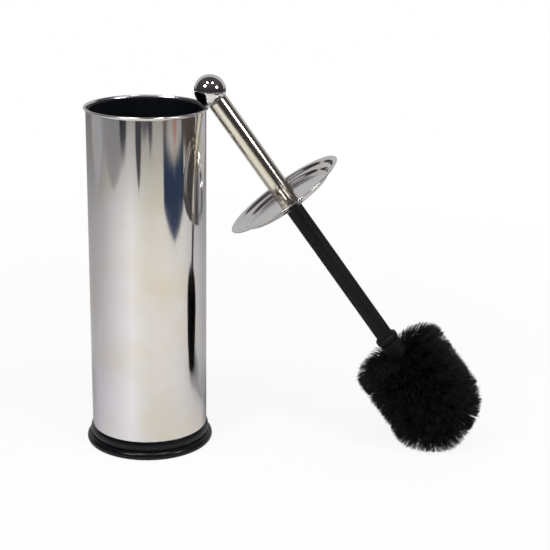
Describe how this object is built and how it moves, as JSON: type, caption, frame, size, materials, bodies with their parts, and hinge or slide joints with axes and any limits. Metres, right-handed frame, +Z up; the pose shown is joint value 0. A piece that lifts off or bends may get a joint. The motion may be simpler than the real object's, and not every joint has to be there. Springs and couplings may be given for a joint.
{
  "type": "toilet brush holder",
  "caption": "Tall round steel canister with a curled rim, black liner and flared black foot, and its lidded toilet brush leaning on the rim by a ball knob.",
  "frame": {"origin": "middle of the canister's foot, on the floor", "axes": "+Z up along the canister's axis; +X towards the side where the brush leans; +Y away from the front view"},
  "size_m": [0.3107, 0.099, 0.2912],
  "materials": {
    "polished_steel": "mirror-polished stainless steel with faint lengthwise rolling marks",
    "handle_steel": "mirror-polished stainless steel, slightly warm",
    "lid_steel": "mirror-polished pressed stainless steel",
    "chrome_knob": "bright chrome",
    "liner_plastic": "black, semi-gloss",
    "foot_plastic": "black, gloss",
    "shaft_plastic": "black, satin",
    "bristle_plastic": "black, dull",
    "plug_plastic": "natural nylon",
    "fastener_steel": "zinc plated"
  },
  "bodies": {
    "canister": {"canister_shell": "polished_steel", "inner_liner": "liner_plastic", "base_foot": "foot_plastic"},
    "brush": {"handle_tube": "handle_steel", "lid": "lid_steel", "ball_knob": "chrome_knob", "brush_shaft": "shaft_plastic", "brush_hub": "shaft_plastic", "side_bristles": "bristle_plastic", "tip_bristles": "bristle_plastic", "knob_stud": "fastener_steel", "tie_stud": "fastener_steel", "tube_top_plug": "plug_plastic", "tube_lower_plug": "plug_plastic", "lid_washer": "fastener_steel"}
  },
  "joints": [
    {"name": "brush_lift", "type": "slide", "parent": "canister", "child": "brush", "axis": [0, 0, 1], "range_m": [0, 0.28]}
  ]
}
